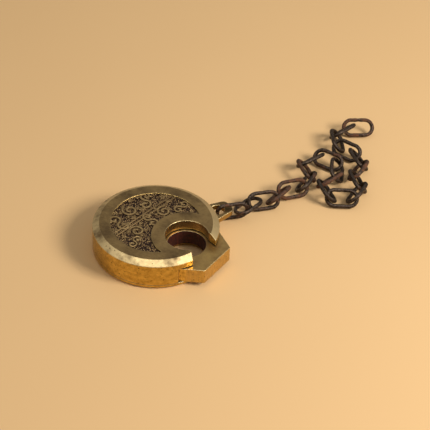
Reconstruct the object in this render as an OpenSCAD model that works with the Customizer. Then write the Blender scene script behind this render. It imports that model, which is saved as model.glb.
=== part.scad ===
// Old round brass padlock with a turning ring shackle, lying on its back, with its iron chain.
// The origin is the middle of the case's back face, +X points to the staple hole, +Z is up.

/* [Case] */
// Diameter of the round case
case_d = 57; // [52:1:70]
// Height of the case, back face to front face
case_h = 14.4; // [13.4:0.2:18]
// Wall of the case around the lock chamber
wall_t = 2.6; // [2:0.1:3.4]
// Thickness of the riveted back plate
back_t = 2; // [1.8:0.1:2.6]
// Width of the bevel around the front face
bevel_w = 3; // [1.5:0.1:4]
// Height of the bevel around the front face
bevel_h = 1.8; // [1:0.1:2.4]
// Chamfer of the case's back edge
back_chamfer = 0.8; // [0.4:0.1:1.2]

/* [Relief field] */
// Radius of the sunk field on the front face
field_r = 20.4; // [16:0.2:22]
// Width of the plain ring around the staple hole
hole_rim_w = 6; // [4:0.2:7]
// Depth of the sunk field
field_depth = 0.7; // [0.4:0.1:1]

/* [Staple hole] */
// Distance from the case centre to the staple hole
hole_x = 16.3; // [14:0.1:18]
// Diameter of the staple hole in the two plates
hole_d = 19.8; // [16:0.2:21]
// Direction of the front horn's end face, seen from the hole
front_horn_angle = -47.5; // [-55:0.5:-40]
// Direction of the rear horn's inner corner, seen from the hole
rear_horn_angle = 44; // [36:0.5:52]
// Direction in which the rear horn's end face runs
rear_cut_angle = -15; // [-40:1:20]
// Where the wall ends beside the front horn, seen from the hole
front_seam_angle = -69; // [-74:0.5:-66]
// Where the wall ends beside the rear horn, seen from the hole
rear_seam_angle = 80; // [78:0.5:88]

/* [Ring shackle] */
// Inner diameter of the ring
ring_id = 17.4; // [14:0.2:19]
// Outer diameter of the ring
ring_od = 33.8; // [30:0.2:35]
// Thickness of the ring
ring_t = 7.2; // [5.6:0.1:9]
// Turn of the hexagonal nose from the lock's axis
nose_turn = -3.7; // [-6:0.1:2]
// Width of the opening in the ring, in degrees
ring_gap = 85; // [70:1:92]
// Direction in which the ring's opening starts when it is closed
ring_end_angle = -72; // [-76:0.5:-70]
// Turn from closed to open, in degrees
ring_travel = 111; // [105:1:114]
// Side clearance of the ring in the case
ring_clear = 0.4; // [0.2:0.05:0.6]
// Clearance between the ring and the roof of the case
ring_top_gap = 0.6; // [0.3:0.1:1]
// Distance of the guide rib's middle from the ring's inner wall
rib_in = 2.6; // [2.2:0.1:3]
// Width of the guide rib
rib_w = 1.4; // [1:0.1:1.8]
// Height of the guide rib
rib_h = 0.8; // [0.5:0.1:1]
// Distance of the stop groove's middle from the ring's outer wall
stop_in = 2.5; // [2.2:0.1:2.8]
// Diameter of the stop pin
stop_pin_d = 2; // [1.6:0.1:2.2]

/* [Bolt] */
// Throw of the bolt
bolt_throw = 4.4; // [3:0.1:4.8]
// Thickness of the bolt
bolt_t = 3; // [2:0.1:3.4]
// Width of the bolt
bolt_w = 8; // [6:0.2:10]
// Width of the bolt's nose
nose_w = 6; // [4:0.2:7]
// Diameter of the guide posts
post_d = 3; // [2.4:0.1:3.4]

/* [Key] */
// Distance of the key pin from the case centre, against the lock's axis
key_x = 12; // [10:0.5:13]
// Distance of the key pin from the lock's axis
key_y = 11; // [10.5:0.5:12]
// Diameter of the key pin
key_pin_d = 2.4; // [2:0.1:2.8]
// Diameter of the round part of the keyhole
keyhole_d = 5.2; // [4.6:0.1:6]

/* [Rivets] */
// Diameter of the rivets' shanks
rivet_d = 2.2; // [1.8:0.1:2.4]

/* [Lug] */
// Direction of the chain lug, seen from the case centre
lug_angle = 64.5; // [60:0.5:70]
// Length of the lug outside the case
lug_l = 11.5; // [10:0.5:14]
// Width of the lug at the case
lug_w = 12; // [10:0.5:14]
// Width of the lug at its tip
lug_tip_w = 8.4; // [7:0.2:10]
// Thickness of the lug
lug_t = 2.6; // [2:0.1:3]
// Diameter of the lug's hole
lug_hole_d = 6.8; // [6:0.1:7.4]
// Distance from the case's edge to the middle of the lug's hole
lug_hole_out = 4.7; // [4.5:0.1:5.6]

/* [Chain] */
// Wire diameter of the links
wire_d = 2; // [1.8:0.1:2]
// Outer length of a link
link_l = 16.4; // [16:0.1:16.6]
// Outer width of a link
link_w = 9.6; // [9.4:0.1:9.8]
// Distance from the middle of one link to the next
link_step = 8.6; // [8.5:0.05:8.7]

/* [Hidden] */
$fn = 96;
eps = 0.01;
case_r = case_d / 2;
chamber_r = case_r - wall_t;
hole_r = hole_d / 2;
ring_ir = ring_id / 2;
ring_or = ring_od / 2;
// The ring stands a hair above the back plate and stays below the roof.
ring_z = back_t + 0.1;
ring_top = ring_z + ring_t;
roof_z = ring_top + ring_top_gap;
rib_r = ring_ir + rib_in;
stop_r = ring_or - stop_in;
// The nose is two corners of a hexagon drawn around the ring.
corner_r = ring_or / cos(30);
corner_round = 0.8;
sweep_r = corner_r + ring_clear;
slide_r = ring_or + ring_clear;
// The nose's flats leave the ring's round 60 degrees from its middle.
sweep_end = nose_turn + 60 - acos(ring_or / slide_r) + ring_travel + 1;
pin_fit = 0.03;
// Bolt, with its nose drawn back just clear of the ring.
bolt_z = ring_z + ring_t / 2 - bolt_t / 2 + 0.9;
bolt_nose_x = hole_x - ring_or - 0.3;
bolt_shoulder_x = bolt_nose_x - bolt_throw;
bolt_tail_x = -chamber_r + 5;
post_x = [-8, -17];
post_clear = 0.1;
bolt_lift = 0.05;
talon_d = 6.4;
// Way in which the bolt runs, from inside the chamber to inside the ring's room.
chamber_x = -1.5;
way_x = chamber_x - 0.5;
way_l = hole_x - ring_or + 2.6 - way_x;
// Bow spring beside the bolt, with an eye around its post.
spring_t = 0.5;
spring_h = 2.4;
spring_bend_r = 22;
spring_side_gap = 0.1;
spring_span = 8;
spring_x = -12;
eye_t = 0.6;
spring_post_d = 2.6;
spring_post_at = [-20, 9];
// Slot for the bit in the keyhole, and the ward around the key pin.
slot_w = 2.4;
slot_l = 7.4;
ward_r = 4;
ward_t = 0.7;
ward_h = 1.8;
ward_gap = 2.8;
// How far the key pin is set into the roof.
pin_seat = 1.8;
// Rivets: two in the solid beside the ring, three in bosses in the chamber.
boss_wall = 1.2;
boss_r = rivet_d / 2 + boss_wall;
rivet_len = roof_z - 1.6;
rivet_head_d = rivet_d + 1.8;
rivet_head_h = 0.8;
ring_rivet_r = sweep_r + 3.5;
ring_rivet_a = 100;
boss_angles = [122, 180, 238];
// Stop pin, and the groove it leaves on each side of its path under the ring.
stop_angle = 150;
stop_half = stop_pin_d / 2 + 0.2;
stop_end = asin(stop_half / stop_r);
stop_groove_h = 2;
// Notches for the bolt's nose.
notch_depth = bolt_throw + 0.8;
notch_fit = 0.2;
// Lug: its height on the case, the round of its corners, its length and its hole from the centre.
lug_z = 4.7;
lug_round = 2.6;
lug_reach = case_r + lug_l;
lug_hole_r = case_r + lug_hole_out;
// Course of the chain on the table, one heading for each link from the lug on: out from the case,
// round the two bends of the heap and away. Neighbours zigzag, so that each link lies against the next.
link_headings = [45, 80, 45, 85, 50, 95, 140, 70, 0, -65, -105, -40, 30, 95, 135, 95, 140, 175,
                 125, 75, 35];
// The first link's middle, seen from the middle of the lug's hole.
chain_lead = [4.7, 5.53];
chain_start = lug_hole_r * [cos(lug_angle), sin(lug_angle)] + chain_lead;
// The links lean half over by turns. The first stands upright in the lug, and the next two ease over.
lean_first = 90;
lean_rest = 45;
lean_ease = 15;
link_z_first = 5;
link_z_rest = 4;
link_z_ease = 0.3;

// Ring segment between two radii.
module tube(r_in, r_out, h) {
  difference() {
    cylinder(r = r_out, h = h);
    translate([0, 0, -1]) cylinder(r = r_in, h = h + 2);
  }
}

// Wedge around the origin from angle a0 to a1, at most 180 degrees wide in each half.
module wedge(a0, a1, r, h) {
  steps = ceil((a1 - a0) / 20);
  linear_extrude(height = h)
    polygon(concat([[0, 0]], [for (i = [0 : steps])
      let (a = a0 + (a1 - a0) * i / steps) [2 * r * cos(a), 2 * r * sin(a)]]));
}

// Everything that is drawn around the staple hole.
module at_hole() {
  translate([hole_x, 0, 0]) children();
}

// The open mouth between the two horns, as deep as h.
module mouth(h) {
  corner = [hole_r * cos(rear_horn_angle), hole_r * sin(rear_horn_angle)];
  far = case_d;
  linear_extrude(height = h)
    polygon([
      [0, 0],
      [far * cos(front_horn_angle), far * sin(front_horn_angle)],
      [2 * far, 0],
      corner + far * [cos(rear_cut_angle), sin(rear_cut_angle)],
      corner
    ]);
}

// Room in which the ring and its nose turn.
module ring_room(z0, h) {
  translate([0, 0, z0]) {
    cylinder(r = slide_r, h = h);
    intersection() {
      cylinder(r = sweep_r, h = h);
      translate([0, 0, -1]) wedge(rear_horn_angle - 20, sweep_end, sweep_r, h + 2);
    }
    difference() {
      wedge(front_seam_angle, rear_seam_angle, case_r, h);
      translate([0, 0, -1]) cylinder(r = ring_ir, h = h + 2);
    }
  }
}

// Lug outline: a tapered tab with round corners at its tip.
module lug_outline() {
  w0 = lug_w / 2;
  w1 = lug_tip_w / 2;
  polygon(concat(
    [[chamber_r + 1, -w0], [case_r, -w0]],
    [for (i = [0 : 6]) let (a = -75 + 75 * i / 6)
      [lug_reach - lug_round + lug_round * cos(a), -w1 + lug_round + lug_round * sin(a)]],
    [for (i = [0 : 6]) let (a = 75 * i / 6)
      [lug_reach - lug_round + lug_round * cos(a), w1 - lug_round + lug_round * sin(a)]],
    [[case_r, w0], [chamber_r + 1, w0]]
  ));
}

// Outside of the case above the back plate.
module case_outside() {
  rotate_extrude()
    polygon([[0, back_t], [case_r, back_t], [case_r, case_h - bevel_h],
             [case_r - bevel_w, case_h], [0, case_h]]);
}

// Places of the rivets.
module at_rivets() {
  for (side = [-1, 1])
    at_hole() rotate([0, 0, side * ring_rivet_a]) translate([ring_rivet_r, 0, 0]) children();
  for (a = boss_angles)
    rotate([0, 0, a]) translate([chamber_r - boss_r + boss_wall, 0, 0]) children();
}

// Chamber for the bolt and the key, behind the ring.
module chamber(h) {
  difference() {
    intersection() {
      cylinder(r = chamber_r, h = h);
      translate([chamber_x - case_d, -case_r, -1]) cube([case_d, case_d, h + 2]);
    }
    for (a = boss_angles)
      rotate([0, 0, a]) translate([chamber_r - boss_r + boss_wall, 0, -1])
        cylinder(r = boss_r, h = h + 2);
  }
}

module case_body() {
  color("#7a6238")
  difference() {
    union() {
      case_outside();
      rotate([0, 0, lug_angle]) translate([0, 0, lug_z]) linear_extrude(height = lug_t) lug_outline();
    }
    translate([0, 0, back_t - 1]) chamber(roof_z - back_t + 1);
    at_hole() ring_room(back_t - 1, roof_z - back_t + 1);
    translate([way_x, -nose_w, back_t - 1]) cube([way_l, 2 * nose_w, roof_z - back_t + 1]);
    at_hole() translate([0, 0, roof_z - 1]) cylinder(r = hole_r, h = case_h);
    at_hole() translate([0, 0, roof_z - 1]) mouth(case_h);
    // Sunk relief field, clear of the plain ring around the hole.
    difference() {
      translate([0, 0, case_h - field_depth]) cylinder(r = field_r, h = 2);
      at_hole() cylinder(r = hole_r + hole_rim_w, h = 2 * case_h);
    }
    at_rivets() translate([0, 0, back_t - 1])
      cylinder(d = rivet_d + 2 * pin_fit, h = rivet_len - back_t + 1.2);
    rotate([0, 0, lug_angle]) translate([lug_hole_r, 0, lug_z - 1])
      cylinder(d = lug_hole_d, h = lug_t + 2);
    translate([-key_x, -key_y, roof_z - 1])
      cylinder(d = key_pin_d + 2 * pin_fit, h = pin_seat + 1.2);
  }
}

module back_plate() {
  color("#8a6a34")
  difference() {
    rotate_extrude()
      polygon([[0, 0], [case_r - back_chamfer, 0], [case_r, back_chamfer], [case_r, back_t], [0, back_t]]);
    at_hole() translate([0, 0, -1]) cylinder(r = hole_r, h = back_t + 2);
    at_hole() translate([0, 0, -1]) mouth(back_t + 2);
    // Groove in which the ring's guide rib runs.
    at_hole() translate([0, 0, back_t - rib_h])
      tube(rib_r - rib_w / 2 - 0.1, rib_r + rib_w / 2 + 0.1, rib_h + 1);
    at_hole() rotate([0, 0, stop_angle]) translate([stop_r, 0, -1])
      cylinder(d = stop_pin_d + 2 * pin_fit, h = back_t + 2);
    at_rivets() {
      translate([0, 0, -1]) cylinder(d = rivet_d + 2 * pin_fit, h = back_t + 2);
      translate([0, 0, -eps])
        cylinder(d1 = rivet_head_d + 2 * pin_fit, d2 = rivet_d + 2 * pin_fit, h = rivet_head_h + eps);
    }
    for (x = post_x) translate([x, 0, -1]) cylinder(d = post_d + 2 * pin_fit, h = back_t + 2);
    translate([0, 0, -1]) at_spring_post()
      cylinder(d = spring_post_d + 2 * pin_fit, h = back_t + 2);
    // Keyhole: a round eye and the slot for the bit.
    translate([-key_x, -key_y, -1]) {
      cylinder(d = keyhole_d, h = back_t + 2);
      translate([-slot_w / 2, 0, 0]) cube([slot_w, slot_l, back_t + 2]);
    }
  }
}

module rivets() {
  color("#8f7440")
  at_rivets() {
    cylinder(d = rivet_d, h = rivet_len);
    cylinder(d1 = rivet_head_d, d2 = rivet_d, h = rivet_head_h);
  }
}

// Plan of the ring: a round disc with the two corners of the nose.
module ring_plan(r) {
  round_at = (r - corner_round) / cos(30);
  circle(r = r);
  rotate([0, 0, nose_turn])
    polygon(concat(
      [[0, 0], [r * cos(-60), r * sin(-60)]],
      [for (side = [-30, 30]) for (i = [0 : 6]) let (a = side - 30 + 10 * i)
        [round_at * cos(side) + corner_round * cos(a),
         round_at * sin(side) + corner_round * sin(a)]],
      [[r * cos(60), r * sin(60)]]
    ));
}

module ring_shackle() {
  color("#9a7a3c")
  at_hole()
  difference() {
    union() {
      translate([0, 0, ring_z]) linear_extrude(height = ring_t) ring_plan(ring_or);
      translate([0, 0, back_t - rib_h + 0.1]) tube(rib_r - rib_w / 2, rib_r + rib_w / 2, rib_h + 1);
    }
    translate([0, 0, -1]) cylinder(r = ring_ir, h = case_h);
    translate([0, 0, -1]) wedge(ring_end_angle - ring_gap, ring_end_angle, ring_or, case_h);
    // Notches that the bolt enters with the ring closed and with it open.
    for (a = [180, 180 - ring_travel])
      rotate([0, 0, a])
        translate([ring_or - notch_depth, -nose_w / 2 - notch_fit, bolt_z - notch_fit])
          cube([2 * notch_depth, nose_w + 2 * notch_fit, bolt_t + 2 * notch_fit]);
    // Stop groove under the ring.
    intersection() {
      translate([0, 0, ring_z - 1])
        tube(stop_r - stop_half, stop_r + stop_half, stop_groove_h + 1);
      translate([0, 0, ring_z - 2])
        wedge(stop_angle - ring_travel - stop_end, stop_angle + stop_end, ring_or, ring_t);
    }
  }
}

module stop_pin() {
  color("#6b5a3a")
  at_hole() rotate([0, 0, stop_angle]) translate([stop_r, 0, 0])
    cylinder(d = stop_pin_d, h = ring_z + stop_groove_h - 0.4);
}

module bolt() {
  color("#8c6f3a")
  difference() {
    translate([0, 0, bolt_z]) union() {
      translate([bolt_tail_x, -bolt_w / 2, 0])
        cube([bolt_shoulder_x - bolt_tail_x, bolt_w, bolt_t]);
      translate([bolt_shoulder_x - eps, -nose_w / 2, 0])
        cube([bolt_nose_x - bolt_shoulder_x + eps, nose_w, bolt_t]);
    }
    for (x = post_x) {
      translate([x, 0, 0]) cylinder(d = post_d + 2 * post_clear, h = case_h);
      translate([x - bolt_throw, 0, 0]) cylinder(d = post_d + 2 * post_clear, h = case_h);
      translate([x - bolt_throw, -post_d / 2 - post_clear, 0])
        cube([bolt_throw, post_d + 2 * post_clear, case_h]);
    }
    // Talon in which the key's bit works.
    translate([-key_x - bolt_throw / 2, -bolt_w / 2 - 1.2, 0]) cylinder(d = talon_d, h = case_h);
  }
}

module bolt_posts() {
  color("#6f6a62")
  for (x = post_x) translate([x, 0, 0]) {
    cylinder(d = post_d, h = roof_z);
    translate([0, 0, back_t]) cylinder(d = post_d + 2, h = bolt_z - bolt_lift - back_t);
  }
}

// Place of the post that holds the spring.
module at_spring_post() {
  translate([spring_post_at[0], spring_post_at[1], 0]) children();
}

module bolt_spring() {
  color("#55504a")
  translate([0, 0, bolt_z + (bolt_t - spring_h) / 2]) {
    intersection() {
      translate([spring_x, bolt_w / 2 + spring_side_gap + spring_bend_r + spring_t, 0])
        tube(spring_bend_r, spring_bend_r + spring_t, spring_h);
      translate([spring_x - spring_span, bolt_w / 2, -1])
        cube([2 * spring_span, 4, spring_h + 2]);
    }
    at_spring_post() tube(spring_post_d / 2 + pin_fit, spring_post_d / 2 + eye_t, spring_h);
    translate([spring_post_at[0] - spring_t / 2, bolt_w / 2 + 1.6, 0])
      cube([spring_t, 2, spring_h]);
  }
}

module spring_post() {
  color("#6f6a62")
  at_spring_post() cylinder(d = spring_post_d, h = roof_z);
}

module key_pin() {
  color("#6f6a62")
  translate([-key_x, -key_y, 1]) cylinder(d = key_pin_d, h = roof_z + pin_seat - 1);
}

module ward_ring() {
  color("#8f7440")
  translate([-key_x, -key_y, roof_z - ward_h]) difference() {
    tube(ward_r, ward_r + ward_t, ward_h);
    translate([-ward_gap / 2, 0, -1]) cube([ward_gap, 2 * ward_r, ward_h + 2]);
  }
}

// Oval link of round wire, bent and closed, lying flat around the origin.
module oval_link() {
  bend_r = (link_w - wire_d) / 2;
  leg = (link_l - link_w) / 2;
  for (end = [0, 180]) rotate([0, 0, end]) {
    translate([leg, 0, 0]) rotate([0, 0, -90]) rotate_extrude(angle = 180)
      translate([bend_r, 0]) circle(d = wire_d, $fn = 32);
    translate([-leg, bend_r, 0]) rotate([0, 90, 0]) cylinder(d = wire_d, h = 2 * leg, $fn = 32);
  }
}

// Middle, in plan, of the link with i links before it. Each step runs halfway between two headings.
function link_middle(i) =
  i == 0 ? chain_start
         : let (a = (link_headings[i] + link_headings[i - 1]) / 2)
           link_middle(i - 1) + link_step * [cos(a), sin(a)];

// Link i of the chain, 1 being the one in the lug. Every second one leans to the other side.
module chain_link(i) {
  before = i - 1;
  middle = link_middle(before);
  z = max(link_z_rest, link_z_first - link_z_ease * before);
  lean = max(lean_rest, lean_first - lean_ease * before) - (before % 2 == 0 ? 0 : 90);
  color("#4b4038")
  translate([middle[0], middle[1], z]) rotate([lean, 0, link_headings[before]]) oval_link();
}

case_body();
back_plate();
rivets();
ring_shackle();
stop_pin();
bolt();
bolt_posts();
bolt_spring();
spring_post();
key_pin();
ward_ring();
chain_link(1);  // chain_link_01
chain_link(2);  // chain_link_02
chain_link(3);  // chain_link_03
chain_link(4);  // chain_link_04
chain_link(5);  // chain_link_05
chain_link(6);  // chain_link_06
chain_link(7);  // chain_link_07
chain_link(8);  // chain_link_08
chain_link(9);  // chain_link_09
chain_link(10);  // chain_link_10
chain_link(11);  // chain_link_11
chain_link(12);  // chain_link_12
chain_link(13);  // chain_link_13
chain_link(14);  // chain_link_14
chain_link(15);  // chain_link_15
chain_link(16);  // chain_link_16
chain_link(17);  // chain_link_17
chain_link(18);  // chain_link_18
chain_link(19);  // chain_link_19
chain_link(20);  // chain_link_20
chain_link(21);  // chain_link_21
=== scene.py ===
"""Worn brass ring padlock with its rusty chain: finishes, relief ornament, table, light and camera."""

import logging
import math
import random
from dataclasses import dataclass
from typing import Iterable, Sequence

import bmesh
import bpy
from mathutils import Matrix, Vector

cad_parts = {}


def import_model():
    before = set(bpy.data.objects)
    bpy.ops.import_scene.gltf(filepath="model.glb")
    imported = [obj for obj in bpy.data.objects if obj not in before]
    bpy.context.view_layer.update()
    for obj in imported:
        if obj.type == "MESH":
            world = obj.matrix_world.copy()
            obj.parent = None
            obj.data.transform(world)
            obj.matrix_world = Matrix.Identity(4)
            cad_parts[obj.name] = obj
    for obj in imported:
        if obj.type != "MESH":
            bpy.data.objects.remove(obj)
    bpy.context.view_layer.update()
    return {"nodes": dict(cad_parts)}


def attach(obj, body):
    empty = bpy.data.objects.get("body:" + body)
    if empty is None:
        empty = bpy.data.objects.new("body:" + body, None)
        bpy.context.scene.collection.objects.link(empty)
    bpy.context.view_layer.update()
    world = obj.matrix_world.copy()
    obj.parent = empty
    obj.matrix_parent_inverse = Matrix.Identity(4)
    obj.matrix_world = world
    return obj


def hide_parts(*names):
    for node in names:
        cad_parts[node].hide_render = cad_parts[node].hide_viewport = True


LOG = logging.getLogger("padlock")
MM = 0.001
PER_MM = 1000.0
CASE_BODY = "case"
Colour = tuple[float, float, float, float]
Object = bpy.types.Object
Socket = bpy.types.NodeSocket


def srgb(code: str) -> Colour:
    """Turns a colour written as on a paint card into the linear colour that shaders take.

    Args:
        code: Six hexadecimal digits, red first.

    Returns:
        Red, green, blue and alpha, linear.
    """
    parts = [int(code[i : i + 2], 16) / 255 for i in (0, 2, 4)]
    linear = [c / 12.92 if c <= 0.04045 else ((c + 0.055) / 1.055) ** 2.4 for c in parts]
    return (linear[0], linear[1], linear[2], 1.0)


# --- Shader sheets -----------------------------------------


class Sheet:
    """A material's node sheet, with short calls for the nodes that the finishes share."""

    def __init__(self, name: str) -> None:
        """Starts an empty sheet with a Principled shader wired to the output.

        Args:
            name: Name of the material.
        """
        self.material = bpy.data.materials.new(name)
        self.material.use_nodes = True
        self.tree = self.material.node_tree
        self.tree.nodes.clear()
        out = self.tree.nodes.new("ShaderNodeOutputMaterial")
        self.shader = self.tree.nodes.new("ShaderNodeBsdfPrincipled")
        self.link(self.shader.outputs["BSDF"], out.inputs["Surface"])
        coords = self.tree.nodes.new("ShaderNodeTexCoord")
        scaled = self.tree.nodes.new("ShaderNodeVectorMath")
        scaled.operation = "SCALE"
        scaled.inputs["Scale"].default_value = PER_MM
        self.link(coords.outputs["Object"], scaled.inputs[0])
        self.place = scaled.outputs[0]
        split = self.tree.nodes.new("ShaderNodeSeparateXYZ")
        self.link(self.place, split.inputs[0])
        self.x, self.y, self.z = split.outputs
        facing = self.tree.nodes.new("ShaderNodeSeparateXYZ")
        self.link(coords.outputs["Normal"], facing.inputs[0])
        self.up = facing.outputs[2]

    def link(self, source, target) -> None:
        """Joins an output to an input.

        Args:
            source: The output.
            target: The input.
        """
        self.tree.links.new(source, target)

    def put(self, value, socket) -> None:
        """Links an output, or sets a plain value, on a socket.

        Args:
            value: An output socket or a constant.
            socket: The input to feed.
        """
        if isinstance(value, Socket):
            self.link(value, socket)
        else:
            socket.default_value = value

    def maths(self, operation: str, first, second=0.0, clamp: bool = False):
        """Adds a maths node.

        Args:
            operation: Blender's name of the operation.
            first: First value or output.
            second: Second value or output.
            clamp: Whether the result stays between 0 and 1.

        Returns:
            The node's output.
        """
        node = self.tree.nodes.new("ShaderNodeMath")
        node.operation = operation
        node.use_clamp = clamp
        self.put(first, node.inputs[0])
        self.put(second, node.inputs[1])
        return node.outputs[0]

    def fade(self, value, low: float, high: float, to_low: float = 0.0, to_high: float = 1.0):
        """Maps a range onto another, held at its ends.

        Args:
            value: Output to map.
            low: Value that gives to_low.
            high: Value that gives to_high.
            to_low: Result at the low end.
            to_high: Result at the high end.

        Returns:
            The mapped output.
        """
        node = self.tree.nodes.new("ShaderNodeMapRange")
        node.clamp = True
        self.put(value, node.inputs["Value"])
        ends = {"From Min": low, "From Max": high, "To Min": to_low, "To Max": to_high}
        for label, level in ends.items():
            node.inputs[label].default_value = level
        return node.outputs["Result"]

    def stretched(self, scale: Sequence[float]):
        """Gives the place in millimetres, scaled along each axis, for streaks and lines.

        Args:
            scale: Factors along X, Y and Z.

        Returns:
            The vector output.
        """
        node = self.tree.nodes.new("ShaderNodeMapping")
        node.inputs["Scale"].default_value = scale
        self.link(self.place, node.inputs["Vector"])
        return node.outputs["Vector"]

    def noise(self, scale: float, detail: float = 4.0, rough: float = 0.55, vector=None):
        """Adds a noise pattern on the millimetre place.

        Args:
            scale: Waves per millimetre.
            detail: Octaves.
            rough: Strength of the finer octaves.
            vector: Another vector to read instead of the place.

        Returns:
            The factor output.
        """
        node = self.tree.nodes.new("ShaderNodeTexNoise")
        node.inputs["Scale"].default_value = scale
        node.inputs["Detail"].default_value = detail
        node.inputs["Roughness"].default_value = rough
        self.link(vector if vector is not None else self.place, node.inputs["Vector"])
        return node.outputs["Fac"]

    def cells(self, scale: float, randomness: float = 1.0):
        """Adds a cell pattern: the distance to the nearest cell's middle, and chance values of each cell.

        Args:
            scale: Cells per millimetre.
            randomness: How far the middles stray from a grid.

        Returns:
            The distance output and the three outputs of each cell's chance values.
        """
        node = self.tree.nodes.new("ShaderNodeTexVoronoi")
        node.inputs["Scale"].default_value = scale
        node.inputs["Randomness"].default_value = randomness
        self.link(self.place, node.inputs["Vector"])
        chance = self.tree.nodes.new("ShaderNodeSeparateColor")
        self.link(node.outputs["Color"], chance.inputs[0])
        return node.outputs["Distance"], chance.outputs

    def blend(self, factor, first, second):
        """Mixes two colours.

        Args:
            factor: How much of the second, as a value or an output.
            first: Colour or output.
            second: Colour or output.

        Returns:
            The colour output.
        """
        node = self.tree.nodes.new("ShaderNodeMix")
        node.data_type = "RGBA"
        self.put(factor, node.inputs[0])
        self.put(first, node.inputs[6])
        self.put(second, node.inputs[7])
        return node.outputs[2]

    def times(self, first, second):
        """Multiplies two values or outputs.

        Args:
            first: First value or output.
            second: Second value or output.

        Returns:
            The product.
        """
        return self.maths("MULTIPLY", first, second)

    def plus(self, first, second):
        """Adds two values or outputs.

        Args:
            first: First value or output.
            second: Second value or output.

        Returns:
            The sum.
        """
        return self.maths("ADD", first, second)

    def rest(self, mask):
        """Gives what a mask leaves over.

        Args:
            mask: Output between 0 and 1.

        Returns:
            One less the mask.
        """
        return self.maths("SUBTRACT", 1.0, mask)

    def apart(self, value, mark: float):
        """Gives how far a value is from a mark.

        Args:
            value: Output to compare.
            mark: The mark.

        Returns:
            The distance, never negative.
        """
        return self.maths("ABSOLUTE", self.maths("SUBTRACT", value, mark))

    def radius(self, centre_x: float = 0.0):
        """Gives the distance in plan from a point on the X axis, in millimetres.

        Args:
            centre_x: The point's X.

        Returns:
            The distance output.
        """
        dx = self.maths("SUBTRACT", self.x, centre_x)
        return self.maths("SQRT", self.plus(self.times(dx, dx), self.times(self.y, self.y)))

    def surface(self, colour, rough, metal) -> None:
        """Feeds the shader's colour, roughness and metallic.

        Args:
            colour: Colour or output.
            rough: Roughness or output.
            metal: Metallic or output.
        """
        self.put(colour, self.shader.inputs["Base Color"])
        self.put(rough, self.shader.inputs["Roughness"])
        self.put(metal, self.shader.inputs["Metallic"])

    def worn_edge(self, width: float):
        """Finds edges where hands and pockets have polished the metal.

        Args:
            width: Width of the worn strip in millimetres.

        Returns:
            The edge mask and the softened normal.
        """
        bevel = self.tree.nodes.new("ShaderNodeBevel")
        bevel.samples = 6
        bevel.inputs["Radius"].default_value = width * MM
        true = self.tree.nodes.new("ShaderNodeNewGeometry")
        dot = self.tree.nodes.new("ShaderNodeVectorMath")
        dot.operation = "DOT_PRODUCT"
        self.link(bevel.outputs[0], dot.inputs[0])
        self.link(true.outputs["Normal"], dot.inputs[1])
        return self.fade(self.rest(dot.outputs["Value"]), 0.01, 0.16), bevel.outputs[0]

    def bumps(self, layers: Iterable[tuple], normal=None) -> None:
        """Stacks bump layers and wires the last into the shader.

        Args:
            layers: Height output, depth in millimetres and strength of each layer.
            normal: Normal that the first layer starts from.
        """
        last = normal
        for height, depth, strength in layers:
            node = self.tree.nodes.new("ShaderNodeBump")
            node.inputs["Distance"].default_value = depth * MM
            self.put(strength, node.inputs["Strength"])
            self.link(height, node.inputs["Height"])
            if last is not None:
                self.link(last, node.inputs["Normal"])
            last = node.outputs[0]
        if last is not None:
            self.link(last, self.shader.inputs["Normal"])


# --- Finishes ----------------------------------------------


@dataclass(frozen=True)
class LockShape:
    """Sizes of the lock that finishes and ornament go by, in millimetres."""

    hole_x: float = 16.3
    hole_r: float = 9.9
    ring_bore_r: float = 8.7
    case_r: float = 28.5
    top_z: float = 14.4
    field_r: float = 20.4
    field_z: float = 13.7
    rim_r: float = 15.9


LOCK = LockShape()


@dataclass(frozen=True)
class Finish:
    """A material that lays out a sheet of its own."""

    name: str

    def make(self) -> bpy.types.Material:
        """Builds the material.

        Returns:
            The finished material.
        """
        sheet = Sheet(self.name)
        self.lay(sheet)
        return sheet.material

    def lay(self, sheet: Sheet) -> None:
        """Adds the nodes of the finish.

        Args:
            sheet: The empty sheet.
        """
        raise NotImplementedError


@dataclass(frozen=True)
class BrassPatterns:
    """Noises and masks of one brass sheet. A mask is 1 where it applies in full."""

    broad: Socket
    patches: Socket
    grain: Socket
    lines: Socket
    flat: Socket
    wall: Socket
    pit: Socket


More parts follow.
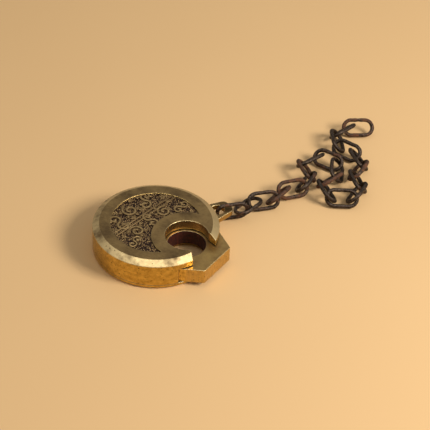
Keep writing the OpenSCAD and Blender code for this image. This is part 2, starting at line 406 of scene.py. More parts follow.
@dataclass(frozen=True)
class BrassFinish(Finish):
    """Handled brass: tarnished on the flats, polished at the edges, clean and turned on the side."""

    flat: Colour = srgb("a08456")
    tarnish: Colour = srgb("6a5538")
    bright: Colour = srgb("dcc592")
    side: Colour = srgb("d8b25a")
    side_dark: Colour = srgb("92702e")
    grime: Colour = srgb("241610")
    flat_rough: float = 0.36
    side_rough: float = 0.3
    slope_rough: float = 0.24
    edge_width: float = 0.55
    lathe_strength: float = 0.35
    streak: tuple = (0.05, 0.05, 9.0)
    broad_scale: float = 0.09
    patch_scale: float = 0.45
    grain_scale: float = 5.0
    pit_scale: float = 0.42
    speck_scale: float = 0.85
    freckle_scale: float = 1.3
    seam_z: float = 2.0
    field_ground: bool = False
    # Dark red-brown bore inside the ring: patina, darkened further as painted shade.
    red_bore_patina_and_shade: bool = False

    def lay(self, sheet: Sheet) -> None:
        """Adds the nodes, as Finish.lay says."""
        at = self.patterns(sheet)
        edge, soft = sheet.worn_edge(self.edge_width)
        worn = sheet.times(edge, sheet.fade(at.patches, 0.3, 0.6, 1.0, 0.55))
        if self.field_ground:
            worn = sheet.times(worn, self.rim_wear(sheet))
        colour = sheet.blend(worn, self.tones(sheet, at), self.bright)
        colour = self.marks(sheet, at, colour)
        rough = self.roughness(sheet, at)
        metal = 1.0
        layers = [
            (at.grain, 0.03, 0.25),
            (at.patches, 0.12, 0.25),
            (sheet.times(at.lines, at.wall), 0.03, self.lathe_strength),
            (sheet.rest(at.pit), 0.12, 0.6),
        ]
        if self.field_ground:
            colour, rough, metal, stipple = self.ground(sheet, colour, rough)
            layers.append((stipple, 0.35, 0.9))
        # Ring bore: dark red-brown patina with painted shade of the deep hole.
        if self.red_bore_patina_and_shade:
            colour, rough, metal = self.bore(sheet, colour, rough)
        sheet.surface(colour, rough, metal)
        sheet.bumps(layers, soft)

    def patterns(self, sheet: Sheet) -> BrassPatterns:
        """Lays the noises and masks that the other steps read.

        Args:
            sheet: The sheet being built.

        Returns:
            The patterns.
        """
        level = sheet.maths("ABSOLUTE", sheet.up)
        flat = sheet.fade(level, 0.75, 0.97)
        near, chance = sheet.cells(self.pit_scale)
        pit = sheet.times(sheet.fade(near, 0.07, 0.16, 1.0, 0.0), sheet.fade(chance[0], 0.55, 0.6))
        return BrassPatterns(
            broad=sheet.noise(self.broad_scale, 3.0),
            patches=sheet.noise(self.patch_scale, 6.0, 0.62),
            grain=sheet.noise(self.grain_scale, 3.0),
            lines=sheet.noise(1.0, 2.0, 0.5, sheet.stretched(self.streak)),
            flat=flat,
            wall=sheet.fade(level, 0.25, 0.6, 1.0, 0.0),
            pit=sheet.times(pit, sheet.fade(flat, 0.5, 1.0, 1.0, 0.15)),
        )

    def tones(self, sheet: Sheet, at: BrassPatterns):
        """Colours the flats, the slopes and the walls.

        Args:
            sheet: The sheet being built.
            at: Its patterns.

        Returns:
            The colour output.
        """
        dull = sheet.fade(sheet.plus(at.broad, sheet.times(at.patches, 0.7)), 0.7, 1.05)
        flat = sheet.blend(dull, self.flat, self.tarnish)
        dull = sheet.fade(sheet.plus(sheet.times(at.broad, 1.6), sheet.times(at.patches, 0.5)), 1.06, 1.42)
        slope = sheet.blend(dull, self.bright, self.tarnish)
        dull = sheet.fade(sheet.plus(sheet.times(at.lines, 0.55), at.patches), 0.62, 1.02, 0.0, 0.85)
        side = sheet.blend(dull, self.side, self.side_dark)
        in_hole = sheet.fade(sheet.radius(LOCK.hole_x), LOCK.hole_r + 0.3, LOCK.hole_r + 0.7, 1.0, 0.0)
        side = sheet.blend(in_hole, side, self.flat)
        on_lug = sheet.fade(sheet.radius(), LOCK.case_r + 0.2, LOCK.case_r + 0.8, 0.0, 0.6)
        side = sheet.blend(on_lug, side, self.flat)
        return sheet.blend(at.wall, sheet.blend(at.flat, slope, flat), side)

    def marks(self, sheet: Sheet, at: BrassPatterns, colour):
        """Adds pits, specks on the walls, the plate's seam and freckles of tarnish.

        Args:
            sheet: The sheet being built.
            at: Its patterns.
            colour: Colour so far.

        Returns:
            The colour output.
        """
        colour = sheet.blend(sheet.times(at.pit, 0.8), colour, self.grime)
        near, chance = sheet.cells(self.speck_scale)
        chosen = sheet.times(at.wall, sheet.fade(chance[1], 0.5, 0.56))
        speck = sheet.times(sheet.fade(near, 0.1, 0.24, 0.75, 0.0), chosen)
        colour = sheet.blend(speck, colour, self.grime)
        seam = sheet.fade(sheet.apart(sheet.z, self.seam_z), 0.05, 0.16, 0.8, 0.0)
        colour = sheet.blend(sheet.times(seam, at.wall), colour, self.grime)
        near, _ = sheet.cells(self.freckle_scale)
        freckle = sheet.times(sheet.fade(near, 0.1, 0.22, 1.0, 0.0), sheet.fade(at.patches, 0.52, 0.62))
        return sheet.blend(sheet.times(freckle, 0.45), colour, self.side_dark)

    def roughness(self, sheet: Sheet, at: BrassPatterns):
        """Makes the slopes rougher than the flats, and lets the walls follow the turning lines.

        Args:
            sheet: The sheet being built.
            at: Its patterns.

        Returns:
            The roughness output.
        """
        top = sheet.fade(at.patches, 0.3, 0.75, self.flat_rough - 0.07, self.flat_rough + 0.14)
        slope = sheet.times(sheet.rest(at.flat), sheet.rest(at.wall))
        top = sheet.plus(top, sheet.times(slope, self.slope_rough))
        side = sheet.fade(at.lines, 0.3, 0.7, self.side_rough - 0.06, self.side_rough + 0.14)
        rough = sheet.plus(sheet.times(top, sheet.rest(at.wall)), sheet.times(side, at.wall))
        return sheet.maths("ADD", rough, sheet.times(at.pit, 0.3), True)

    def rim_wear(self, sheet: Sheet):
        """Finds how much hands reach each edge: little at the two edges of the sunk field.

        Args:
            sheet: The sheet being built.

        Returns:
            A factor for the wear.
        """
        outer = sheet.apart(sheet.radius(), LOCK.field_r)
        inner = sheet.apart(sheet.radius(LOCK.hole_x), LOCK.rim_r)
        return sheet.fade(sheet.maths("MINIMUM", outer, inner), 0.6, 0.9, 0.3, 1.0)

    def ground(self, sheet: Sheet, colour, rough):
        """Adds the dark stippled ground of the relief field.

        Args:
            sheet: The sheet being built.
            colour: Colour so far.
            rough: Roughness so far.

        Returns:
            Colour, roughness, metallic and the stipple's height.
        """
        inside = sheet.times(
            sheet.fade(sheet.radius(), LOCK.field_r + 0.02, LOCK.field_r + 0.12, 1.0, 0.0),
            sheet.fade(sheet.radius(LOCK.hole_x), LOCK.rim_r - 0.12, LOCK.rim_r - 0.02),
        )
        mask = sheet.times(inside, sheet.fade(sheet.z, LOCK.top_z - 0.35, LOCK.top_z - 0.05, 1.0, 0.0))
        near, chance = sheet.cells(1.45, randomness=0.7)
        dome = sheet.fade(near, 0.1, 0.62, 1.0, 0.0)
        pale = sheet.blend(chance[0], srgb("7c6040"), srgb("a68a5a"))
        ground = sheet.blend(sheet.fade(dome, 0.1, 0.62), srgb("2c1c14"), pale)
        colour = sheet.blend(mask, colour, ground)
        rough = sheet.maths("MAXIMUM", rough, sheet.times(mask, 0.55))
        metal = sheet.fade(mask, 0.0, 1.0, 1.0, 0.85)
        return colour, rough, metal, sheet.times(dome, mask)

    def bore(self, sheet: Sheet, colour, rough):
        """Adds the dark red-brown wall that the staple rubs on inside the ring: red-brown patina, made
        darker as painted shade of the deep bore.

        Args:
            sheet: The sheet being built.
            colour: Colour so far.
            rough: Roughness so far.

        Returns:
            Colour, roughness and metallic.
        """
        reach = LOCK.ring_bore_r + 0.02
        inner = sheet.fade(sheet.radius(LOCK.hole_x), reach, reach + 0.1, 1.0, 0.0)
        # Patina colours of the bore, kept very dark as painted shade deep in the hole.
        rust = sheet.blend(sheet.fade(sheet.noise(0.8, 5.0), 0.35, 0.7), srgb("2c0e08"), srgb("5a2410"))
        colour = sheet.blend(inner, colour, rust)
        rough = sheet.maths("MAXIMUM", rough, sheet.times(inner, 0.6))
        return colour, rough, sheet.fade(inner, 0.0, 1.0, 1.0, 0.3)


@dataclass(frozen=True)
class IronFinish(Finish):
    """Old iron wire: dark scale with orange rust in patches and a grey rubbed sheen."""

    scale_colour: Colour = srgb("221812")
    rubbed: Colour = srgb("5c4e42")
    rust: Colour = srgb("744420")
    deep_rust: Colour = srgb("332010")
    rust_amount: float = 0.5

    def lay(self, sheet: Sheet) -> None:
        """Adds the nodes, as Finish.lay says."""
        patches = sheet.noise(0.22, 6.0, 0.65)
        crust = sheet.noise(1.6, 6.0, 0.7)
        grain = sheet.noise(7.0, 3.0)
        low, high = 1.06 - self.rust_amount * 0.6, 1.14 - self.rust_amount * 0.5
        rusty = sheet.fade(sheet.plus(patches, sheet.times(crust, 0.35)), low, high)
        bare = sheet.blend(sheet.fade(crust, 0.42, 0.66), self.scale_colour, self.rubbed)
        oxide = sheet.blend(sheet.fade(crust, 0.35, 0.65), self.deep_rust, self.rust)
        colour = sheet.blend(rusty, bare, oxide)
        rough = sheet.fade(rusty, 0.0, 1.0, 0.42, 0.85)
        metal = sheet.fade(rusty, 0.0, 1.0, 0.85, 0.1)
        sheet.surface(colour, rough, metal)
        sheet.bumps([(crust, 0.35, 0.8), (grain, 0.05, 0.5), (patches, 0.5, 0.4)])


@dataclass(frozen=True)
class SteelFinish(Finish):
    """Blued working steel of the small parts inside."""

    tone: Colour = srgb("6a6560")
    stain: Colour = srgb("4a3526")
    rough: float = 0.35

    def lay(self, sheet: Sheet) -> None:
        """Adds the nodes, as Finish.lay says."""
        patches = sheet.noise(0.7, 5.0, 0.6)
        brushed = sheet.noise(1.0, 2.0, 0.5, sheet.stretched((0.6, 9.0, 9.0)))
        colour = sheet.blend(sheet.fade(patches, 0.45, 0.7), self.tone, self.stain)
        rough = sheet.fade(patches, 0.3, 0.7, self.rough - 0.08, self.rough + 0.2)
        sheet.surface(colour, rough, 1.0)
        sheet.bumps([(brushed, 0.03, 0.3), (patches, 0.1, 0.3)])


@dataclass(frozen=True)
class ReliefFinish(Finish):
    """Cast ornament: brown in the low parts, rubbed tan on top."""

    low: Colour = srgb("46321f")
    middle: Colour = srgb("94794e")
    top: Colour = srgb("c4aa76")

    def lay(self, sheet: Sheet) -> None:
        """Adds the nodes, as Finish.lay says."""
        height = sheet.fade(sheet.z, LOCK.field_z + 0.1, LOCK.top_z - 0.06)
        patches = sheet.noise(0.8, 5.0, 0.6)
        colour = sheet.blend(height, self.low, self.middle)
        crown = sheet.times(sheet.fade(height, 0.7, 1.0), sheet.fade(patches, 0.35, 0.6))
        colour = sheet.blend(crown, colour, self.top)
        grain = sheet.noise(4.0, 4.0, 0.6)
        rough = sheet.fade(patches, 0.3, 0.7, 0.34, 0.55)
        metal = sheet.fade(height, 0.0, 0.8, 0.5, 0.85)
        sheet.surface(colour, rough, metal)
        sheet.bumps([(grain, 0.06, 0.5), (patches, 0.15, 0.4)])


@dataclass(frozen=True)
class TableFinish(Finish):
    """Pale peach table top, almost plain."""

    near: Colour = srgb("e9c28c")
    far: Colour = srgb("e2ba84")

    def lay(self, sheet: Sheet) -> None:
        """Adds the nodes, as Finish.lay says."""
        sheet.surface(sheet.blend(sheet.noise(0.004, 2.0), self.near, self.far), 0.7, 0.0)
        sheet.shader.inputs["Specular IOR Level"].default_value = 0.25


# --- Mesh work ---------------------------------------------


class Bench:
    """Short calls for modelling by hand with Blender's operators."""

    @staticmethod
    def clear() -> None:
        """Leaves edit mode and deselects everything."""
        if bpy.context.object is not None and bpy.context.object.mode != "OBJECT":
            bpy.ops.object.mode_set(mode="OBJECT")
        bpy.ops.object.select_all(action="DESELECT")

    @staticmethod
    def take(obj: Object) -> None:
        """Makes an object the active one and the only one selected.

        Args:
            obj: The object.
        """
        Bench.clear()
        obj.select_set(True)
        bpy.context.view_layer.objects.active = obj

    @staticmethod
    def edit(mode: str) -> None:
        """Enters edit mode on the active object with nothing selected.

        Args:
            mode: What is selected, EDGE or FACE.
        """
        bpy.ops.object.mode_set(mode="EDIT")
        bpy.ops.mesh.select_mode(type=mode)
        bpy.ops.mesh.select_all(action="DESELECT")

    @staticmethod
    def pick_top(obj: Object) -> None:
        """Selects the faces that look straight up.

        Args:
            obj: Object in edit mode.
        """
        mesh = bmesh.from_edit_mesh(obj.data)
        for face in mesh.faces:
            face.select_set(face.normal.z > 0.9)
        mesh.select_flush_mode()
        bmesh.update_edit_mesh(obj.data)

    @staticmethod
    def settle(obj: Object) -> None:
        """Applies an object's own move, turn and scale to its mesh.

        Args:
            obj: The object.
        """
        Bench.take(obj)
        bpy.ops.object.transform_apply(location=True, rotation=True, scale=True)

    @staticmethod
    def smooth(obj: Object, angle: float) -> None:
        """Shades an object smooth up to an angle.

        Args:
            obj: The object.
            angle: Edges sharper than this many degrees stay sharp.
        """
        Bench.take(obj)
        bpy.ops.object.shade_smooth_by_angle(angle=math.radians(angle))

    @staticmethod
    def outward(obj: Object) -> None:
        """Merges doubles and turns all faces outwards.

        Args:
            obj: The object.
        """
        Bench.take(obj)
        bpy.ops.object.mode_set(mode="EDIT")
        bpy.ops.mesh.select_all(action="SELECT")
        bpy.ops.mesh.remove_doubles(threshold=0.01 * MM)
        bpy.ops.mesh.normals_make_consistent(inside=False)
        bpy.ops.object.mode_set(mode="OBJECT")

    @staticmethod
    def join(parts: Sequence[Object], name: str) -> Object:
        """Joins objects into one.

        Args:
            parts: Objects, the first of which takes the rest.
            name: Name of the result.

        Returns:
            The joined object.
        """
        Bench.clear()
        for part in parts:
            part.select_set(True)
        bpy.context.view_layer.objects.active = parts[0]
        bpy.ops.object.join()
        parts[0].name = name
        parts[0].data.name = name
        return parts[0]

    @staticmethod
    def twin(obj: Object, name: str) -> Object:
        """Copies an object with a mesh of its own.

        Args:
            obj: The object to copy.
            name: Name of the copy.

        Returns:
            The copy.
        """
        copy = obj.copy()
        copy.data = obj.data.copy()
        copy.name = name
        copy.data.name = name
        bpy.context.scene.collection.objects.link(copy)
        return copy


# --- Relief ornament ---------------------------------------


@dataclass(frozen=True)
class MotifPlace:
    """Where a copy of an ornament motif lies in the field."""

    x: float
    y: float
    turn: float
    size: float
    flip: bool = False


@dataclass(frozen=True)
class ReliefField:
    """The ornament in the sunk field: a straight double band with scrollwork on both sides.

    The band's two lines stand line_height proud of the ground, the ribbons of the scrolls height.
    Every piece reaches sink into the ground.
    """

    band_x: float = -7.3
    band_angle: float = 79.0
    line_w: float = 0.75
    line_gap: float = 1.1
    line_height: float = 0.42
    line_shoulder: float = 0.16
    line_ridge: float = 0.05
    line_round: float = 0.08
    rim_gap: float = 0.35
    height: float = 0.58
    sink: float = 0.05
    ribbon_w: float = 1.2
    ribbon_splay: float = 0.08
    ribbon_round: float = 0.12
    spin_step: float = 15.0
    boss_share: float = 0.7
    leaf_share: float = 0.62
    leaf_rib: float = 0.22
    leaf_taper: float = 0.45
    palm_leaves: tuple = (
        (-40.0, 2.2), (0.0, 3.0), (45.0, 3.5), (90.0, 3.9), (135.0, 3.5), (180.0, 3.0), (220.0, 2.2),
    )

    def build(self, finish: bpy.types.Material) -> None:
        """Models the whole ornament.

        Args:
            finish: Material of every piece.
        """
        pieces = [self.band_line("relief_band_left", 1.0), self.band_line("relief_band_right", -1.0)]
        layout = (
            ("scroll", self.scroll_motif(), (
                ("low", -13.6, -9.3, 66.0, 0.95),
                ("high", -12.4, 10.4, 48.0, 0.95, True),
                ("mid", -3.2, 0.2, 84.0, 0.8, True),
                ("tip", 3.4, 15.6, -16.0, 0.74),
                ("foot", -0.6, -16.0, 18.0, 0.66, True),
            )),
            ("volute", self.volute_motif(), (
                ("side", -14.8, 0.6, 200.0, 0.95),
                ("upper", -1.6, 9.0, 150.0, 0.9),
                ("lower", -4.2, -9.8, 20.0, 0.9, True),
            )),
            ("palm", self.palm_motif(), (
                ("end", -11.6, -15.0, 120.0, 0.6),
                ("top", -6.9, 17.2, 76.0, 0.56),
                ("mid", -9.9, 4.4, 80.0, 0.46),
            )),
            ("spray", self.spray_motif(), (
                ("1", -9.6, -2.6, 176.0, 0.8),
                ("2", -18.3, 5.6, 100.0, 0.75),
                ("3", -18.6, -4.2, 262.0, 0.75),
                ("4", -9.2, -7.4, 200.0, 0.7),
                ("5", -3.4, 15.0, 120.0, 0.7),
                ("6", -6.2, -15.4, 250.0, 0.7),
                ("7", 8.4, 15.4, 8.0, 0.7),
                ("8", -16.4, 9.6, 130.0, 0.6),
                ("9", -5.2, 5.0, 250.0, 0.5),
                ("10", -5.6, -4.6, 100.0, 0.5),
            )),
        )
        for kind, motif, rows in layout:
            pieces += [self.lay(motif, f"relief_{kind}_{row[0]}", MotifPlace(*row[1:])) for row in rows]
            bpy.data.objects.remove(motif)
        for piece in pieces:
            piece.data.materials.clear()
            piece.data.materials.append(finish)
            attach(piece, CASE_BODY)
        LOG.info("ornament of %d pieces", len(pieces))

    def band_line(self, name: str, side: float) -> Object:
        """Models one straight line of the band as a bar with a ridge.

        Args:
            name: Name of the piece.
            side: 1 for the line away from the hole, -1 for the other.

        Returns:
            The bar.
        """
        angle = math.radians(self.band_angle)
        across = Vector((-math.sin(angle), math.cos(angle), 0.0))
        off = self.band_x * across.x + side * (self.line_gap + self.line_w) / 2
        long = 2 * math.sqrt((LOCK.field_r - self.rim_gap) ** 2 - off**2)
        tall = self.line_height + self.sink
        Bench.clear()
        bpy.ops.mesh.primitive_cube_add(size=1.0)
        bar = bpy.context.object
        bar.name = name
        bar.data.name = name
        bar.scale = Vector((long, self.line_w, tall)) * MM
        bar.rotation_euler = (0.0, 0.0, angle)
        bar.location = (across * off + Vector((0.0, 0.0, LOCK.field_z - self.sink + tall / 2))) * MM
        Bench.settle(bar)
        Bench.edit("FACE")
        Bench.pick_top(bar)
        bpy.ops.mesh.inset(thickness=self.line_shoulder * MM, depth=0.0)
        bpy.ops.transform.translate(value=(0.0, 0.0, self.line_ridge * MM))
        bpy.ops.object.mode_set(mode="OBJECT")
        rounding = bar.modifiers.new("round", "BEVEL")
        rounding.width = self.line_round * MM
        rounding.segments = 2
        rounding.limit_method = "ANGLE"
        rounding.angle_limit = math.radians(30.0)
        bpy.ops.object.modifier_apply(modifier=rounding.name)
        Bench.smooth(bar, 40.0)
        LOG.info("%s: %.1f mm long", name, long)
        return bar

    def ribbon(self, radii: Sequence[float], start_x: float, heading: float, sweep: float) -> Object:
        """Spins a ribbon through arcs of shrinking radius.

        Args:
            radii: Radius of each arc in millimetres.
            start_x: Where on the X axis the ribbon's middle line starts, in millimetres.
            heading: Direction in which it leaves, in degrees.
            sweep: Degrees that each arc turns to the left.

        Returns:
            The ribbon, closed and with faces outwards.
        """
        Bench.clear()
        bpy.ops.mesh.primitive_plane_add(size=1.0)
        strip = bpy.context.object
        turn = math.radians(heading)
        top = LOCK.field_z + self.height
        low = LOCK.field_z - self.sink
        shoulder = top - self.ribbon_round
        side = Vector((-math.sin(turn), math.cos(turn), 0.0))
        spot = Vector((start_x, 0.0, 0.0))
        half = self.ribbon_w / 2
        narrow = half - self.ribbon_splay
        section = ((half, low), (narrow, shoulder), (-half, low), (-narrow, shoulder))
        for vertex, (across, level) in zip(strip.data.vertices, section):
            vertex.co = (spot + side * across + Vector((0.0, 0.0, level))) * MM
        Bench.edit("FACE")
        bpy.ops.mesh.select_all(action="SELECT")
        bpy.ops.mesh.subdivide(number_cuts=1)
        mesh = bmesh.from_edit_mesh(strip.data)
        for vertex in mesh.verts:
            off = (vertex.co.xy - spot.xy * MM).length
            if off < self.ribbon_w / 12 * MM and vertex.co.z > (shoulder - self.ribbon_splay) * MM:
                vertex.co.z = top * MM
        bmesh.update_edit_mesh(strip.data)
        rotation = Matrix.Rotation(math.radians(sweep), 3, "Z")
        for radius in radii:
            centre = spot + side * radius
            bpy.ops.mesh.spin(
                steps=int(sweep / self.spin_step),
                angle=-math.radians(sweep),
                center=(centre.x * MM, centre.y * MM, 0.0),
                axis=(0.0, 0.0, 1.0),
            )
            spot = centre + rotation @ (spot - centre)
            side = rotation @ side
        bpy.ops.object.mode_set(mode="OBJECT")
        Bench.outward(strip)
        return strip

    def boss(self, x: float, y: float, radius: float) -> Object:
        """Models a round boss as a low dome with a foot.

        Args:
            x: Middle in millimetres.
            y: Middle in millimetres.
            radius: Radius in millimetres.

        Returns:
            The boss.
        """
        tall = self.height * self.boss_share + self.sink
        Bench.clear()
        bpy.ops.mesh.primitive_cylinder_add(
            vertices=14,
            radius=radius * MM,
            depth=tall * MM,
            location=Vector((x, y, LOCK.field_z - self.sink + tall / 2)) * MM,
        )
        dome = bpy.context.object
        Bench.settle(dome)
        Bench.edit("FACE")
        Bench.pick_top(dome)
        for inset, rise in ((0.3, 0.16), (0.3, 0.08)):
            bpy.ops.mesh.inset(thickness=radius * inset * MM, depth=0.0)
            bpy.ops.transform.translate(value=(0.0, 0.0, rise * self.height * MM))
        bpy.ops.object.mode_set(mode="OBJECT")
        return dome

    def leaf(self, x: float, y: float, length: float, width: float, heading: float) -> Object:
        """Models a pointed leaf with a raised middle rib.

        Args:
            x: Foot of the leaf in millimetres.
            y: Foot of the leaf in millimetres.
            length: Length in millimetres.
            width: Width in millimetres.
            heading: Direction in which it points, in degrees.

        Returns:
            The leaf.
        """
        rise = self.height * self.leaf_share
        Bench.clear()
        bpy.ops.mesh.primitive_circle_add(vertices=12, radius=1.0, fill_type="TRIFAN")
        blade = bpy.context.object
        for vertex in blade.data.vertices:
            u, v = vertex.co.x, vertex.co.y
            taper = 1.0 - self.leaf_taper * max(0.0, u) ** 2
            vertex.co = Vector((u * length / 2 + length / 2, v * width / 2 * taper, 0.0)) * MM
            if abs(u) < 0.01 and abs(v) < 0.01:
                vertex.co.z = self.leaf_rib * MM
        blade.rotation_euler = (0.0, 0.0, math.radians(heading))
        blade.location = Vector((x, y, LOCK.field_z + rise)) * MM
        Bench.settle(blade)
        Bench.edit("EDGE")
        bpy.ops.mesh.select_non_manifold()
        bpy.ops.mesh.extrude_edges_move(
            TRANSFORM_OT_translate={"value": (0.0, 0.0, -(rise + self.sink) * MM)}
        )
        bpy.ops.mesh.edge_face_add()
        bpy.ops.object.mode_set(mode="OBJECT")
        Bench.outward(blade)
        return blade

    def scroll_motif(self) -> Object:
        """Models an S of two scrolls with a leaf between them.

        Returns:
            The motif around the origin.
        """
        parts = [
            self.ribbon((2.7, 1.8, 1.0), 0.0, 20.0, 145.0),
            self.ribbon((2.7, 1.8, 1.0), 0.0, 200.0, 145.0),
            self.leaf(0.6, -0.6, 3.2, 1.5, -58.0),
            self.leaf(-0.6, 0.6, 3.2, 1.5, 122.0),
            self.boss(3.1, -2.4, 0.6),
            self.boss(-3.1, 2.4, 0.6),
        ]
        return Bench.join(parts, "scroll_pattern")

    def volute_motif(self) -> Object:
        """Models a single volute that winds inwards, with leaves on its back.

        Returns:
            The motif around the origin.
        """
        parts = [
            self.ribbon((3.3, 2.6, 1.8, 1.0), 3.3, 90.0, 130.0),
            self.leaf(3.3, 0.4, 3.6, 1.7, -84.0),
            self.leaf(2.6, 2.6, 2.4, 1.3, 40.0),
            self.leaf(-0.6, 3.7, 2.4, 1.3, 100.0),
            self.leaf(-3.2, 1.6, 2.4, 1.3, 160.0),
            self.leaf(-2.6, -1.8, 2.2, 1.2, 215.0),
        ]
        return Bench.join(parts, "volute_pattern")

    def palm_motif(self) -> Object:
        """Models a palmette: seven leaves that fan out from a boss.

        Returns:
            The motif around the origin.
        """
        parts = [self.boss(0.0, 0.0, 0.9)]
        for heading, length in self.palm_leaves:
            angle = math.radians(heading)
            parts.append(self.leaf(math.cos(angle), math.sin(angle), length, 1.5, heading))
        return Bench.join(parts, "palm_pattern")

    def spray_motif(self) -> Object:
        """Models a spray of three leaves on a bead.

        Returns:
            The motif around the origin.
        """
        parts = [self.leaf(0.0, 0.0, 2.9, 1.25, heading) for heading in (-48.0, 0.0, 48.0)]
        parts.append(self.boss(0.0, 0.0, 0.6))
        return Bench.join(parts, "spray_pattern")

    def lay(self, motif: Object, name: str, place: MotifPlace) -> Object:
        """Copies a motif to its place in the field.

        Args:
            motif: The motif around the origin.
            name: Name of the copy.
            place: Where the copy goes.

        Returns:
            The copy, with its place in its mesh.
        """
        copy = Bench.twin(motif, name)
        copy.scale = (-place.size if place.flip else place.size, place.size, 1.0)
        copy.rotation_euler = (0.0, 0.0, math.radians(place.turn))
        copy.location = (place.x * MM, place.y * MM, 0.0)
        Bench.settle(copy)
        Bench.outward(copy)
        Bench.smooth(copy, 35.0)
        LOG.info("%s at %.1f, %.1f mm", name, place.x, place.y)
        return copy


# --- Dressing the frame ------------------------------------


@dataclass
class PadlockDress:
    """Gives every carried-over piece of the lock and chain its finish."""

    nodes: dict

    def paint(self, names: Iterable[str], finish: bpy.types.Material) -> None:
        """Puts a finish on pieces.

        Args:
            names: Nodes.
            finish: Material.
        """
        for name in names:
            data = self.nodes[name].data
            data.materials.clear()
            data.materials.append(finish)

    def dress(self) -> None:
        """Finishes the case, plate, ring, works and chain."""
        ring = BrassFinish(
            "worn_ring_brass",
            flat=srgb("bc9c60"),
            tarnish=srgb("8c7046"),
            side=srgb("ecc466"),
            streak=(1.6, 1.6, 0.1),
            # The bore's dark red-brown: patina, with painted shade of the deep hole.
            red_bore_patina_and_shade=True,
        )
        inner = BrassFinish("inner_brass_clean", flat=srgb("b08a4a"), side=srgb("b8863a"))
        links = [name for name in self.nodes if name.startswith("chain_link_")]
        looks = (
            (("case_body",), BrassFinish("worn_case_brass", field_ground=True)),
            (("back_plate", "rivets"), BrassFinish("plate_brass_rubbed", flat_rough=0.42)),
            (("ring_shackle",), ring),
            (("ward_ring", "key_pin", "bolt"), inner),
            (("bolt_posts", "bolt_spring", "spring_post", "stop_pin"), SteelFinish("blued_steel")),
            (links, IronFinish("iron_wire_plain")),
        )
        for names, finish in looks:
            self.paint(names, finish.make())
        LOG.info("dressed %d pieces", len(self.nodes))


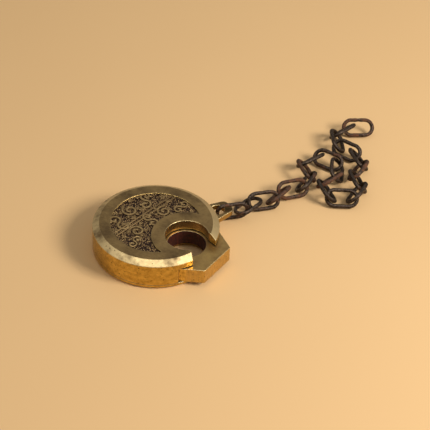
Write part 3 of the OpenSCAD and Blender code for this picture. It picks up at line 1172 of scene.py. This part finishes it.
@dataclass(frozen=True)
class Chain:
    """The links, forged anew over the plain ones at the same places.

    The chain lies as a walk from the lug: a heading for each link, with equal steps between the middles.
    Every second link leans to the other side, and the first three ease over from upright.
    """

    headings: tuple = (
        45, 80, 45, 85, 50, 95, 140, 70, 0, -65, -105, -40, 30, 95, 135, 95, 140, 175, 125, 75, 35,
    )
    start: tuple = (18.993, 35.496)
    step: float = 8.6
    first_z: float = 5.0
    rest_z: float = 4.0
    ease_z: float = 0.3
    rest_lean: float = 45.0
    ease_lean: float = 15.0
    wire_d: float = 2.0
    length: float = 16.4
    width: float = 9.6
    sides: int = 14
    bend_steps: int = 14
    leg_cuts: int = 4
    pinch: float = 0.8
    cloud_size: float = 1.9
    crust_depth: float = 0.26
    crust_change: float = 0.04
    seed: int = 11

    def places(self) -> list:
        """Works out where each link lies.

        Returns:
            For each link its middle in millimetres, its lean and its heading in degrees.
        """
        x, y = self.start
        found = []
        for index, heading in enumerate(self.headings):
            if index:
                halfway = math.radians((heading + self.headings[index - 1]) / 2)
                x += self.step * math.cos(halfway)
                y += self.step * math.sin(halfway)
            lean = max(self.rest_lean, 90.0 - self.ease_lean * index) - (90.0 if index % 2 else 0.0)
            level = max(self.rest_z, self.first_z - self.ease_z * index)
            found.append((Vector((x, y, level)), lean, float(heading)))
        return found

    def forge(self) -> Object:
        """Bends one link from round wire, closed at a butt joint in the middle of a leg.

        Returns:
            The link lying flat around the origin.
        """
        bend = (self.width - self.wire_d) / 2
        leg = (self.length - self.width) / 2
        Bench.clear()
        bpy.ops.mesh.primitive_circle_add(
            vertices=self.sides,
            radius=self.wire_d / 2 * MM,
            location=(0.0, bend * MM, 0.0),
            rotation=(0.0, math.pi / 2, 0.0),
        )
        link = bpy.context.object
        Bench.settle(link)
        Bench.edit("EDGE")
        bpy.ops.mesh.select_all(action="SELECT")
        cut = leg / self.leg_cuts
        self.draw_wire(-cut, self.leg_cuts)
        self.bend_wire(-leg)
        self.draw_wire(cut, 2 * self.leg_cuts)
        self.bend_wire(leg)
        self.draw_wire(-cut, self.leg_cuts)
        bpy.ops.object.mode_set(mode="OBJECT")
        Bench.outward(link)
        self.butt_joint(link, bend)
        return link

    def draw_wire(self, length: float, times: int) -> None:
        """Draws the wire on along the X axis.

        Args:
            length: Length of one draw in millimetres, negative towards low X.
            times: How many draws.
        """
        for _ in range(times):
            bpy.ops.mesh.extrude_edges_move(TRANSFORM_OT_translate={"value": (length * MM, 0.0, 0.0)})

    def bend_wire(self, centre_x: float) -> None:
        """Bends the wire by half a turn.

        Args:
            centre_x: Middle of the bend on the X axis, in millimetres.
        """
        bpy.ops.mesh.spin(
            steps=self.bend_steps,
            angle=-math.pi,
            center=(centre_x * MM, 0.0, 0.0),
            axis=(0.0, 0.0, 1.0),
        )

    def butt_joint(self, link: Object, bend: float) -> None:
        """Pinches the wire where its two ends meet on one leg.

        Args:
            link: The link lying flat.
            bend: Distance of the leg from the middle line in millimetres.
        """
        middle = bend * MM
        for vertex in link.data.vertices:
            if vertex.co.y > 0 and abs(vertex.co.x) < 0.05 * MM:
                vertex.co.y = middle + (vertex.co.y - middle) * self.pinch
                vertex.co.z *= self.pinch

    def roughen(self, link: Object, offset: float) -> None:
        """Makes a link's wire uneven, as rust and use leave it.

        Args:
            link: The link in its place.
            offset: Angle whose sine changes the depth, so that the links differ.
        """
        clouds = bpy.data.textures.new(f"crust_{link.name}", "CLOUDS")
        clouds.noise_scale = self.cloud_size * MM
        clouds.noise_depth = 3
        Bench.take(link)
        finer = link.modifiers.new("finer", "SUBSURF")
        finer.levels = 1
        finer.render_levels = 1
        bpy.ops.object.modifier_apply(modifier=finer.name)
        crust = link.modifiers.new("crust", "DISPLACE")
        crust.texture = clouds
        crust.texture_coords = "LOCAL"
        crust.mid_level = 0.62
        crust.strength = (self.crust_depth + self.crust_change * math.sin(offset)) * MM
        bpy.ops.object.modifier_apply(modifier=crust.name)
        bpy.data.textures.remove(clouds)

    def build(self) -> None:
        """Forges, places, roughens and dresses all links."""
        rng = random.Random(self.seed)
        amounts = {"dark": 0.35, "rusty": 0.8, "mixed": 0.58}
        shades = [IronFinish(f"iron_wire_{look}", rust_amount=rust).make() for look, rust in amounts.items()]
        pattern = self.forge()
        for index, (middle, lean, heading) in enumerate(self.places()):
            number = f"{index + 1:02d}"
            link = Bench.twin(pattern, f"iron_link_{number}")
            link.rotation_euler = (math.radians(lean), 0.0, math.radians(heading))
            link.location = middle * MM
            Bench.settle(link)
            self.roughen(link, float(index))
            Bench.smooth(link, 60.0)
            link.data.materials.clear()
            link.data.materials.append(shades[rng.choice((0, 1, 2, 2))])
            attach(link, f"link_{number}")
            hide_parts(f"chain_link_{number}")
        bpy.data.objects.remove(pattern)
        LOG.info("forged %d links", len(self.headings))


# --- Table, light and camera -------------------------------


@dataclass(frozen=True)
class Studio:
    """The plain table, the soft light and the camera, placed as the viewer sees them."""

    view_turn: float = 29.6
    target: tuple = (26.17, 23.95, 0.0)
    distance: float = 698.3
    elevation: float = 39.95
    roll: float = 2.77
    lens: float = 125.58
    sensor: float = 36.0
    room_colour: Colour = (1.0, 0.965, 0.9, 1.0)
    room_strength: float = 0.42
    key_colour: tuple = (1.0, 0.95, 0.9)

    def turned(self, spot: Sequence[float]) -> Vector:
        """Turns a viewer's point into the lock's frame, in metres.

        Args:
            spot: Millimetres: right, away and up as the viewer sees them.

        Returns:
            The point in metres.
        """
        return Matrix.Rotation(math.radians(self.view_turn), 3, "Z") @ Vector(spot) * MM

    def table(self) -> None:
        """Lays the table under the lock."""
        Bench.clear()
        bpy.ops.mesh.primitive_plane_add(size=8.0, location=(0.0, 0.0, -0.0002))
        top = bpy.context.object
        top.name = "table"
        top.data.materials.append(TableFinish("table_top").make())

    def area(self, name: str, spot: tuple, aim: tuple, size: tuple, power: float) -> Object:
        """Hangs a soft light.

        Args:
            name: Name of the light.
            spot: Where it hangs, as the viewer sees it, in millimetres.
            aim: Point that it faces.
            size: Width and depth in millimetres.
            power: Watts.

        Returns:
            The light.
        """
        data = bpy.data.lights.new(name, "AREA")
        data.shape = "RECTANGLE"
        data.size = size[0] * MM
        data.size_y = size[1] * MM
        data.energy = power
        lamp = bpy.data.objects.new(name, data)
        lamp.location = self.turned(spot)
        towards = self.turned(aim) - lamp.location
        lamp.rotation_mode = "QUATERNION"
        lamp.rotation_quaternion = towards.to_track_quat("-Z", "Y")
        bpy.context.scene.collection.objects.link(lamp)
        return lamp

    def lights(self) -> None:
        """Sets the room's light and the soft lights."""
        world = bpy.data.worlds.new("room")
        world.use_nodes = True
        back = world.node_tree.nodes["Background"]
        back.inputs["Color"].default_value = self.room_colour
        back.inputs["Strength"].default_value = self.room_strength
        bpy.context.scene.world = world
        key = self.area("key", (620.0, -230.0, 520.0), (26.0, 30.0, 0.0), (280.0, 280.0), 6.4)
        key.data.color = self.key_colour
        strip = self.area("overhead", (20.0, -70.0, 880.0), (20.0, 0.0, 0.0), (1050.0, 330.0), 6.2)
        strip.visible_diffuse = False

    def camera(self) -> None:
        """Places the camera at the viewer's angle."""
        turn = Matrix.Rotation(math.radians(self.view_turn), 3, "Z")
        tilt = Matrix.Rotation(math.radians(90.0 - self.elevation), 3, "X")
        aim = turn @ tilt @ Matrix.Rotation(math.radians(self.roll), 3, "Z")
        data = bpy.data.cameras.new("camera")
        data.lens = self.lens
        data.sensor_width = self.sensor
        data.clip_start = 0.02
        data.clip_end = 20.0
        camera = bpy.data.objects.new("camera", data)
        camera.rotation_mode = "QUATERNION"
        camera.rotation_quaternion = aim.to_quaternion()
        camera.location = (turn @ Vector(self.target) + aim @ Vector((0.0, 0.0, self.distance))) * MM
        bpy.context.scene.collection.objects.link(camera)
        bpy.context.scene.camera = camera

    def build(self) -> None:
        """Sets the table, light, camera and plain view."""
        self.table()
        self.lights()
        self.camera()
        bpy.context.scene.view_settings.view_transform = "Standard"


def main() -> None:
    """Builds the lock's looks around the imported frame."""
    logging.basicConfig(level=logging.INFO, format="%(name)s: %(message)s")
    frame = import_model()
    PadlockDress(frame["nodes"]).dress()
    ReliefField().build(ReliefFinish("relief_brass").make())
    Chain().build()
    Studio().build()


if __name__ == "__main__":
    main()
